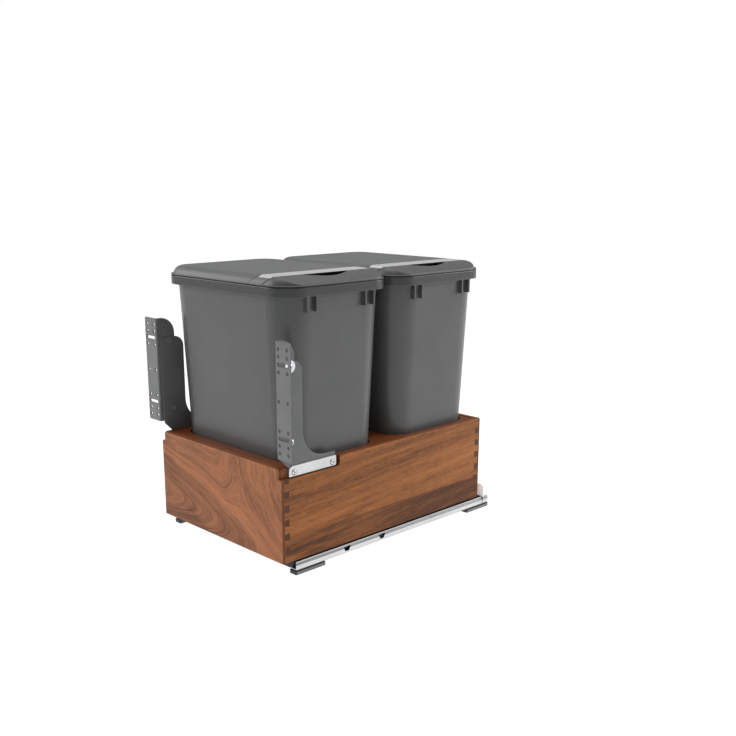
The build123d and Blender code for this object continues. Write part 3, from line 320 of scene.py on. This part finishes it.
RIM_START_Z = 0.4865
material, shader, place, normal = finish("bin_grey")
x, y, z = place.axes()
cloud = place.noise(x * 12, y * 12, z * 12, 3.0)
grit = place.noise(x * 600, y * 600, z * 600, 1.0)
wall = cloud.step(0.2, 0.8).mix((0.098, 0.101, 0.101), (0.112, 0.115, 0.114))
# The rim is painted darker, as painted shade.
rim_shade = z.step(RIM_START_Z, RIM_START_Z + 0.001)
plug(
    shader, place.tree, Base_Color=rim_shade.mix(wall, (0.048, 0.050, 0.050)),
    Roughness=0.27 + cloud * 0.05 + grit * 0.05, Normal=relief(cloud, 0.0004),
)
coat(material, "front_bin", "rear_bin")


# ---------------------------------------------------------------- lids
# Moulded lids of the same plastic: a ring with a fixed nose clips on the rim, and a crowned flap
# swings on a steel pin. The flap's top is grained; the band along its free edge is polished, and
# its light grey is a painted sheen. The nose and the faces below the lid's face line are painted
# darker, as painted shade.

LID_TOP_Z = 0.520
LID_FACE_Z = 0.5050
BAND_START_X = 0.0990
BAND_SLANT = 1.44
NOSE_START_X = 0.1379
material, shader, place, normal = finish("lid_grey")
x, y, z = place.axes()
cloud = place.noise(x * 14, y * 14, z * 14, 3.0)
grit = place.noise(x * 900, y * 900, z * 900, 2.0)
slant_x = x - BAND_SLANT * (z - LID_TOP_Z)
# The band is polished, and its light grey is a painted sheen.
band = x.step(BAND_START_X, BAND_START_X + 0.001) * z.step(LID_TOP_Z - 0.0045, LID_TOP_Z - 0.0035)
band = band * slant_x.step(NOSE_START_X, NOSE_START_X - 0.0002)
band = band * normal.axes()[2].step(-0.3, -0.1)
shell = cloud.step(0.2, 0.8).mix((0.094, 0.096, 0.097), (0.106, 0.108, 0.109))
# The nose is painted darker, as painted shade.
nose_shade = slant_x.step(NOSE_START_X - 0.0002, NOSE_START_X + 0.0002)
shell = (nose_shade * 0.75).mix(shell, (0.060, 0.061, 0.062))
# Faces below the lid's face line are painted darker, as painted shade.
shell = z.step(LID_FACE_Z, LID_FACE_Z - 0.0005).mix(shell, (0.058, 0.059, 0.060))
plug(
    shader, place.tree, Base_Color=band.mix(shell, (0.50, 0.50, 0.50)),
    Roughness=(0.46 + cloud * 0.08) * (1 - band) + band * 0.16,
    Normal=relief(grit * (1 - band), 0.00006),
)
coat(material, "front_lid_frame", "rear_lid_frame", "front_flap", "rear_flap")


# ---------------------------------------------------------------- door brackets
# Stamped steel, 2 mm thick, with a grey powder coat that shows a faint orange peel. A dark ring
# of painted shade lies round each pierced hole of the door flange, and faces turned to the front
# are painted lighter, as painted light.

FLANGE_X = 0.1980
FLANGE_Z = 0.3185
HOLE_COLUMN = 0.0114
HOLE_ROWS = (0.0, 0.050, 0.076, 0.089)
SLOT_ROW = 0.063
SLOT_HALF = 0.011
HOLE_EDGE = 0.0030
FLANGE_BACK_Y = -0.2815
material, shader, place, normal = finish("powder_coat")
x, y, z = place.axes()
peel = place.noise(x * 420, y * 420, z * 420, 2.0)
cloud = place.noise(x * 20, y * 20, z * 20, 2.0)
out = x.math("ABSOLUTE", x) - FLANGE_X
up = z.math("ABSOLUTE", z - FLANGE_Z)
column = x.math("ABSOLUTE", x.math("ABSOLUTE", out) - HOLE_COLUMN)
near = x.math("MAXIMUM", x.math("ABSOLUTE", out) - SLOT_HALF, 0.0)
near = near * near + (up - SLOT_ROW) * (up - SLOT_ROW)
for row in HOLE_ROWS:
    near = near.math("MINIMUM", near, column * column + (up - row) * (up - row))
# A dark ring of painted shade round each pierced hole.
hole_shade = (near ** 0.5).step(HOLE_EDGE + 0.0005, HOLE_EDGE + 0.0001)
hole_shade = hole_shade * y.step(FLANGE_BACK_Y + 0.001, FLANGE_BACK_Y)
# Faces turned to the front are painted lighter, as painted light.
front = normal.axes()[1].step(-0.6, -0.9)
body = cloud.step(0.2, 0.8).mix((0.142, 0.146, 0.148), (0.166, 0.170, 0.172))
body = front.mix(body, cloud.step(0.2, 0.8).mix((0.190, 0.194, 0.196), (0.218, 0.222, 0.224)))
plug(
    shader, place.tree, Base_Color=hole_shade.mix(body, (0.012, 0.012, 0.013)),
    Roughness=0.40 + peel * 0.12, Metallic=0.0, Normal=relief(peel, 0.00006),
)
coat(material, "box_bracket_left", "box_bracket_right", "door_plate_left", "door_plate_right")


# ---------------------------------------------------------------- runners
# Cold-rolled steel sections, bright zinc, with faint rolling lines along them. The outer face is
# rolled with a recessed upper band, painted grey as painted shade over a painted shadow line, and
# its lower edge is painted dark as painted shade. The upright plate at the back is painted white
# and glows, as painted light. The inner rails and hooks are painted near black, as painted shade.

def zinc(name, stretch, tint, rough, marks=None):
    """Bright plating with rolling lines along one axis; marks(x, y, z) gives parts of painted shade
    and parts that glow white as painted light.
    """
    material, shader, place, normal = finish(name)
    x, y, z = place.axes()
    lines = place.noise(x * stretch[0], y * stretch[1], z * stretch[2], 3.0)
    cloud = place.noise(x * 30, y * 30, z * 30, 2.0)
    dim = tuple(0.80 * c for c in tint)
    body = (lines * 0.6 + cloud * 0.4).step(0.3, 0.7).mix(dim, tint)
    metal = 1.0
    glow_colour = (0.0, 0.0, 0.0, 1.0)
    if marks:
        dark, painted_glow = marks(x, y, z)
        # The stop plate is painted white and glows, as painted light.
        glow_colour = painted_glow.mix((0.0, 0.0, 0.0), (0.30, 0.30, 0.30))
        body = painted_glow.mix(dark.mix(body, tuple(0.22 * c for c in tint)), (0.95, 0.95, 0.95))
        metal = 1 - painted_glow * 0.85
    plug(
        shader, place.tree, Base_Color=body, Roughness=rough + lines * 0.12, Metallic=metal,
        Normal=relief(lines, 0.00002), Emission_Color=glow_colour, Emission_Strength=1.0,
    )
    return material


BAND_LOW_Z = 0.0172
BAND_HIGH_Z = 0.0226
RAIL_LOW_Z = 0.0092
STOP_PLATE_Y = 0.2560
STOP_PLATE_Z = 0.0245


def rail_marks(x, y, z):
    """Painted shade in a grey upper band over a dark line and on a dark lower edge, and painted light
    on the white, glowing stop plate.
    """
    band = z.step(BAND_LOW_Z, BAND_LOW_Z + 0.0004) * z.step(BAND_HIGH_Z, BAND_HIGH_Z - 0.0004)
    line = z.step(BAND_LOW_Z - 0.0007, BAND_LOW_Z - 0.0004) * z.step(BAND_LOW_Z + 0.0004, BAND_LOW_Z)
    low = z.step(RAIL_LOW_Z + 0.0003, RAIL_LOW_Z - 0.0002)
    painted_glow = y.step(STOP_PLATE_Y - 0.001, STOP_PLATE_Y) * z.step(STOP_PLATE_Z - 0.001, STOP_PLATE_Z)
    return x.math("MINIMUM", band * 0.62 + line + low * 0.6, 1.0), painted_glow


outer = zinc("zinc_outer", (900, 6, 900), (0.74, 0.745, 0.76), 0.26, rail_marks)
# The inner rails and hooks are painted near black, as painted shade in the channel.
inner = zinc("zinc_inner_painted_shade", (900, 6, 900), (0.07, 0.07, 0.075), 0.5)
for side in ("left", "right"):
    coat(outer, f"cabinet_rail_{side}")
    coat(inner, f"middle_rail_{side}", f"drawer_rail_{side}", f"rear_hook_{side}")


# ---------------------------------------------------------------- clamp plates and screws
# Zinc-plated strips hold the brackets down in their notches, each under two countersunk wood
# screws. The door plates slide under domed machine screws. All heads have a cross recess.

CLAMP_Z = 0.1875
CLAMP_SCREWS_Y = (-0.24825, -0.15925)
DOOR_SCREW_Y = -0.25425
DOOR_SCREWS_Z = (0.373, 0.242)
COUNTERSINK = 0.0052
HEAD_SHADE_RING = (0.0044, 0.0047)
HEAD_SHADE_RING_END = (0.0057, 0.0052)
DOOR_SCREW_SIZES = {
    "base": 0.1817, "radius": 0.0046, "height": 0.0026,
    "shank": 0.0024, "length": 0.0084, "recess": 0.0027,
}
CLAMP_SCREW_SIZES = {
    "base": 0.1810, "radius": 0.0043, "height": 0.0018,
    "shank": 0.0019, "length": 0.0080, "recess": 0.0025,
}


def sink_marks(x, y, z):
    """A ring of painted shade round each screw at the countersink's edge, stronger on its lower side
    as a painted shadow.
    """
    shade_rings = 0.0
    for centre in CLAMP_SCREWS_Y:
        across = y - centre
        rise = z - CLAMP_Z
        ring = (across * across + rise * rise) ** 0.5
        line = ring.step(COUNTERSINK - 0.0010, COUNTERSINK - 0.0003)
        line = line * ring.step(COUNTERSINK + 0.0010, COUNTERSINK)
        shade_rings = line * (rise * -60 - across * 40 + 1.10) + shade_rings
    return x.math("MINIMUM", shade_rings, 1.0), x * 0.0


def washer_marks(x, y, z):
    """A ring of painted shade round each screw head, where it meets the washer."""
    shade_rings = 0.0
    for centre in DOOR_SCREWS_Z:
        across = y - DOOR_SCREW_Y
        rise = z - centre
        ring = (across * across + rise * rise) ** 0.5
        shade_rings = ring.step(*HEAD_SHADE_RING) * ring.step(*HEAD_SHADE_RING_END) + shade_rings
    return x.math("MINIMUM", shade_rings, 1.0), x * 0.0


def screw_heads(name, side, centres, base, radius, height, shank, length, recess):
    """Screws along x as one closed mesh each: turned profile, with a cross sunk in the dome.

    The dome starts at 0.14 of its height at the edge and rises by 0.86 * (1 - (r / radius)^2.4)^0.5
    of it. The recess falls off over a short flank and tapers along the arms.
    """
    turns, steps = 96, 36
    angle = np.arange(turns) * 2 * pi / turns
    crown = radius * (np.arange(1, steps + 1) / steps) ** 0.85
    r, a = np.meshgrid(crown, angle, indexing="ij")
    u, v = np.abs(r * np.cos(a)), np.abs(r * np.sin(a))
    narrow, wide = np.minimum(u, v), np.maximum(u, v)
    half = recess * 0.24
    flank = np.clip((half - narrow) / (0.35 * half), 0, 1)
    flank = flank * np.clip((recess - wide) / (0.5 * recess), 0, 1)
    dome = height * (0.14 + 0.86 * np.sqrt(np.clip(1 - (r / radius) ** 2.4, 0, 1)))
    rings_r = np.concatenate([r, np.full((1, turns), radius), np.full((2, turns), shank)])
    rings_h = np.concatenate(
        [dome - 0.8 * height * flank, np.zeros((2, turns)), np.full((1, turns), -length)]
    )
    count = len(rings_r)
    deep = np.concatenate([flank, np.zeros((3, turns))]).reshape(-1)
    verts, faces, sunk = [], [], []
    for cy, cz in centres:
        start = len(verts)
        x = side * (base + rings_h)
        y = cy + rings_r * np.cos(angle)
        z = cz + side * rings_r * np.sin(angle)
        verts += np.stack([x, y, z], -1).reshape(-1, 3).tolist()
        verts += [(side * (base + 0.2 * height), cy, cz), (side * (base - length), cy, cz)]
        sunk += [*deep.tolist(), 1.0, 0.0]
        k, i = np.meshgrid(np.arange(count - 1), np.arange(turns), indexing="ij")
        n = (i + 1) % turns
        ring, after = start + k * turns, start + (k + 1) * turns
        quads = np.stack([ring + i, after + i, after + n, ring + n], -1)
        faces += quads.reshape(-1, 4).tolist()
        top, low = start + count * turns, start + count * turns + 1
        last = start + (count - 1) * turns
        for i in range(turns):
            n = (i + 1) % turns
            faces += [(top, start + i, start + n), (low, last + n, last + i)]
    mesh = bpy.data.meshes.new(name)
    mesh.from_pydata(verts, [], faces)
    mesh.attributes.new("sunk", "FLOAT", "POINT").data.foreach_set("value", sunk)
    mesh.shade_smooth()
    mesh.set_sharp_from_angle(angle=radians(40))
    piece = bpy.data.objects.new(name, mesh)
    bpy.context.scene.collection.objects.link(piece)
    return piece


strip = zinc("zinc_strip", (120, 700, 500), (0.70, 0.70, 0.71), 0.24, sink_marks)
plated = zinc("zinc_plated", (300, 300, 300), (0.84, 0.85, 0.87), 0.16)
washer = zinc("zinc_washer", (300, 300, 300), (0.84, 0.85, 0.87), 0.22, washer_marks)


def turned_marks(x, y, z):
    """The cross recess holds its shadow."""
    sunk = x.node("ShaderNodeAttribute", "Fac", {"attribute_name": "sunk"}, {})
    return sunk.step(0.05, 0.6), x * 0.0


turned = zinc("zinc_turned", (300, 300, 300), (0.84, 0.85, 0.87), 0.16, turned_marks)
for side, sign in (("left", -1), ("right", 1)):
    coat(strip, f"clamp_plate_{side}")
    coat(washer, f"door_washers_{side}")
    coat(plated, f"door_nuts_{side}", f"foot_rivets_{side}", f"damper_cylinder_{side}")
    coat(plated, f"lower_rollers_{side}", f"upper_rollers_{side}")
    door = [(DOOR_SCREW_Y, z) for z in DOOR_SCREWS_Z]
    wood = [(y, CLAMP_Z) for y in CLAMP_SCREWS_Y]
    for kind, centres, sizes in (
        ("door_screws", door, DOOR_SCREW_SIZES),
        ("clamp_screws", wood, CLAMP_SCREW_SIZES),
    ):
        piece = screw_heads(f"{kind}_{side}_turned", sign, centres, **sizes)
        piece.data.materials.append(turned)
        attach(piece, "drawer")
        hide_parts(f"{kind}_{side}")
coat(plated, "front_hinge_pin", "rear_hinge_pin")


# ---------------------------------------------------------------- feet
# Glass-filled nylon feet in dark grey with ribbed outer sides. The outer sides are painted paler,
# as painted light, with painted highlights and shade in stripes along the ribs; their top strip
# under the rail stays dark, as a painted shadow.

RIB_PITCH = 0.0026
FOOT_SEAM_Z = 0.0056
material, shader, place, normal = finish("foot_grey")
x, y, z = place.axes()
nx = normal.axes()[0]
grit = place.noise(x * 900, y * 900, z * 900, 2.0)
rib = y.math("SINE", y * (2 * pi / RIB_PITCH)) * 0.5 + 0.5
# The outer sides are painted paler as painted light, with painted highlights along the ribs; their
# top strip stays dark as a painted shadow.
flank = (nx * nx).step(0.5, 0.8) * z.step(FOOT_SEAM_Z + 0.0003, FOOT_SEAM_Z)
dark = grit.mix((0.030, 0.031, 0.032), (0.050, 0.051, 0.052))
lit_ribs = rib.mix((0.140, 0.142, 0.144), (0.330, 0.332, 0.334))
plug(
    shader, place.tree, Base_Color=flank.mix(dark, lit_ribs), Roughness=0.45 + grit * 0.1,
    Normal=relief(rib * flank + grit * 0.2, 0.00015),
)
for side in ("left", "right"):
    coat(material, f"front_foot_{side}", f"rear_foot_{side}")


# ---------------------------------------------------------------- latches, cages, dampers
# Small moulded parts: black acetal latches and damper housings, pale nylon roller cages.

def moulded(name, low, high, rough):
    """Fine-grained moulded plastic between two close tones."""
    material, shader, place, normal = finish(name)
    x, y, z = place.axes()
    grit = place.noise(x * 900, y * 900, z * 900, 2.0)
    cloud = place.noise(x * 40, y * 40, z * 40, 2.0)
    plug(
        shader, place.tree, Base_Color=cloud.step(0.3, 0.7).mix(low, high),
        Roughness=rough + grit * 0.1, Normal=relief(grit, 0.00004),
    )
    return material


black = moulded("latch_black", (0.012, 0.012, 0.013), (0.020, 0.020, 0.021), 0.42)
pale = moulded("cage_white", (0.55, 0.54, 0.50), (0.62, 0.61, 0.57), 0.45)
for side in ("left", "right"):
    coat(black, f"latch_body_{side}", f"latch_lever_{side}", f"damper_housing_{side}")
    coat(pale, f"lower_cage_{side}", f"upper_cage_{side}")


# ---------------------------------------------------------------- floor
# A plain floor of matt white studio paper, laid flat under the feet. It glows, so that it reads
# white to the camera and in gloss, and keeps a soft shadow.

FLOOR_HALF = 6.0
FLOOR_PAINT = 0.80
FLOOR_GLOW = 1.22
GLOW_SHARE = 0.80
corner = np.array([[-1, -1], [1, -1], [1, 1], [-1, 1]]) * FLOOR_HALF
floor_mesh = bpy.data.meshes.new("floor")
floor_mesh.from_pydata([(a, b, 0.0) for a, b in corner], [], [(0, 1, 2, 3)])
floor = bpy.data.objects.new("floor", floor_mesh)
bpy.context.scene.collection.objects.link(floor)

material = bpy.data.materials.new("studio_white")
material.use_nodes = True
tree = material.node_tree
tree.nodes.clear()
rays = tree.nodes.new("ShaderNodeLightPath")
camera_ray = Signal(tree, rays.outputs["Is Camera Ray"])
seen = camera_ray.math("MAXIMUM", camera_ray, Signal(tree, rays.outputs["Is Glossy Ray"]))
seen = seen.math("MAXIMUM", seen, Signal(tree, rays.outputs["Is Transmission Ray"]))
paint = seen.node("ShaderNodeBsdfDiffuse", "BSDF", {}, {"Color": colour((FLOOR_PAINT,) * 3)})
glow = seen.node(
    "ShaderNodeEmission", "Emission", {}, {"Color": colour((1.0,) * 3), "Strength": FLOOR_GLOW},
)
both = seen.node("ShaderNodeMixShader", "Shader", {}, {0: seen * GLOW_SHARE, 1: paint, 2: glow})
output = tree.nodes.new("ShaderNodeOutputMaterial")
tree.links.new(both.socket, output.inputs["Surface"])
floor_mesh.materials.append(material)


# ---------------------------------------------------------------- light
# Even studio light: a white room and three square soft boxes with cloth fronts. One stands left
# of the front, a smaller one behind on the right, and the broadest hangs over the lids.

ROOM_STRENGTH = 0.28
world = bpy.data.worlds.new("studio")
bpy.context.scene.world = world
world.use_nodes = True
tree = world.node_tree
tree.nodes.clear()
rays = tree.nodes.new("ShaderNodeLightPath")
camera_ray = Signal(tree, rays.outputs["Is Camera Ray"])
seen = camera_ray.math("MAXIMUM", camera_ray, Signal(tree, rays.outputs["Is Transmission Ray"]))
room, white = (
    seen.node(
        "ShaderNodeBackground", "Background", {}, {"Color": colour((1.0,) * 3), "Strength": strength},
    )
    for strength in (ROOM_STRENGTH, 1.0)
)
both = seen.node("ShaderNodeMixShader", "Shader", {}, {0: seen, 1: room, 2: white})
output = tree.nodes.new("ShaderNodeOutputWorld")
tree.links.new(both.socket, output.inputs["Surface"])


def soft_box(name, place, target, size, power):
    """A square area lamp at a place, turned to shine at a target."""
    lamp = bpy.data.lights.new(name, "AREA")
    lamp.shape = "SQUARE"
    lamp.size = size
    lamp.energy = power
    box = bpy.data.objects.new(name, lamp)
    bpy.context.scene.collection.objects.link(box)
    way = np.array(target) - np.array(place)
    box.location = place
    tilt = np.arctan2(np.hypot(way[0], way[1]), -way[2])
    box.rotation_euler = (tilt, 0.0, np.arctan2(-way[0], way[1]))


soft_box("left_box", (-2.2, -1.5, 1.5), (0.0, 0.0, 0.25), 1.3, 39.0)
soft_box("right_box", (0.95, 1.65, 1.05), (0.0, 0.0, 0.25), 1.0, 23.5)
soft_box("top_box", (0.0, 0.0, 2.6), (0.0, 0.0, 0.3), 1.8, 46.0)


# ---------------------------------------------------------------- camera
# A plain lens right of the front and a little above the lids, looking slightly down. It is shifted
# in its mount, so that the insert stands left of the picture's middle.

CAMERA_DOWN = 0.24663
CAMERA_ROUND = 0.8066
camera_data = bpy.data.cameras.new("camera")
camera_data.sensor_width = 36.0
camera_data.lens = 46.727
camera_data.shift_x = 0.02119
camera_data.shift_y = 0.06781
camera_data.clip_end = 60.0
camera = bpy.data.objects.new("camera", camera_data)
bpy.context.scene.collection.objects.link(camera)
camera.location = (1.38664, -1.26509, 0.68001)
camera.rotation_euler = (pi / 2 - CAMERA_DOWN, 0.0, CAMERA_ROUND)
bpy.context.scene.camera = camera
bpy.context.scene.view_settings.view_transform = "Standard"
